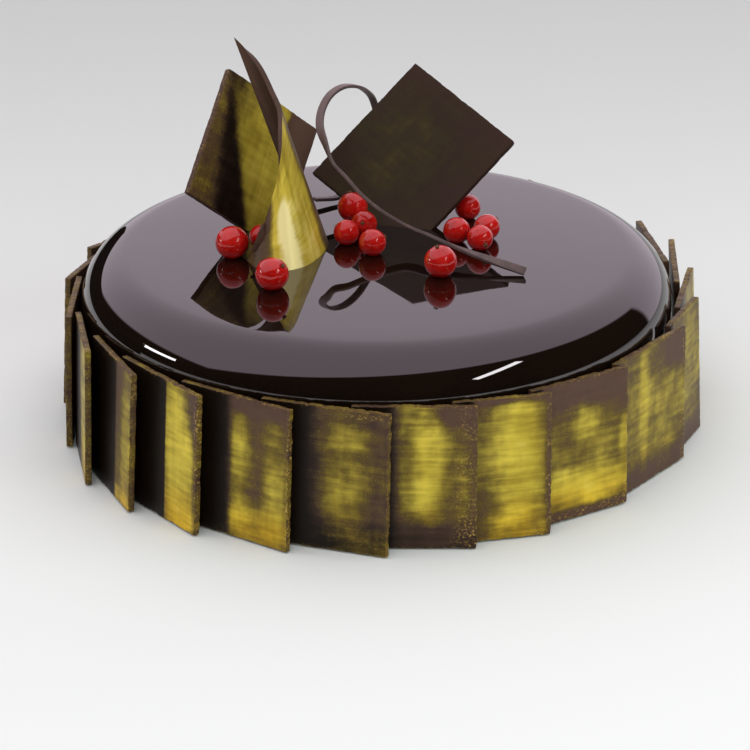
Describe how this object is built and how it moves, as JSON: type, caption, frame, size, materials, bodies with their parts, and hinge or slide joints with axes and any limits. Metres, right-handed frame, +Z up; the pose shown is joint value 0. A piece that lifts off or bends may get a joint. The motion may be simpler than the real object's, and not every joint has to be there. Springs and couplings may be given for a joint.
{
  "type": "chocolate mirror glaze cake",
  "caption": "Round chocolate cake with a mirror glaze, ringed by gilded chocolate panels and topped with chocolate plaques, a curled strip and redcurrants.",
  "frame": {"origin": "centre of the cake's flat base, on the surface it stands on", "axes": "+Z up, -Y towards the front where the picture was taken from, +X to that view's right"},
  "size_m": [0.1997, 0.2028, 0.1134],
  "materials": {
    "glaze": "mirror-smooth dark chocolate glaze",
    "gilt": "dark chocolate brushed unevenly with satin gold powder",
    "chocolate": "satin dark chocolate with a faint gold bloom",
    "red_skin": "shiny translucent red fruit skin"
  },
  "bodies": {
    "root": {"glazed_cake": "glaze", "side_panel_01": "gilt", "side_panel_02": "gilt", "side_panel_03": "gilt", "side_panel_04": "gilt", "side_panel_05": "gilt", "side_panel_06": "gilt", "side_panel_07": "gilt", "side_panel_08": "gilt", "side_panel_09": "gilt", "side_panel_10": "gilt", "side_panel_11": "gilt", "side_panel_12": "gilt", "side_panel_13": "gilt", "side_panel_14": "gilt", "side_panel_15": "gilt", "side_panel_16": "gilt", "side_panel_17": "gilt", "side_panel_18": "gilt", "side_panel_19": "gilt", "side_panel_20": "gilt", "side_panel_21": "gilt", "side_panel_22": "gilt", "side_panel_23": "gilt", "right_plaque": "chocolate", "left_plaque": "gilt", "rolled_plaque": "gilt", "curled_strip": "chocolate", "currant_01": "red_skin", "currant_02": "red_skin", "currant_03": "red_skin", "currant_04": "red_skin", "currant_05": "red_skin", "currant_06": "red_skin", "currant_07": "red_skin", "currant_08": "red_skin", "currant_09": "red_skin", "currant_10": "red_skin", "currant_11": "red_skin", "currant_12": "red_skin"}
  },
  "joints": []
}
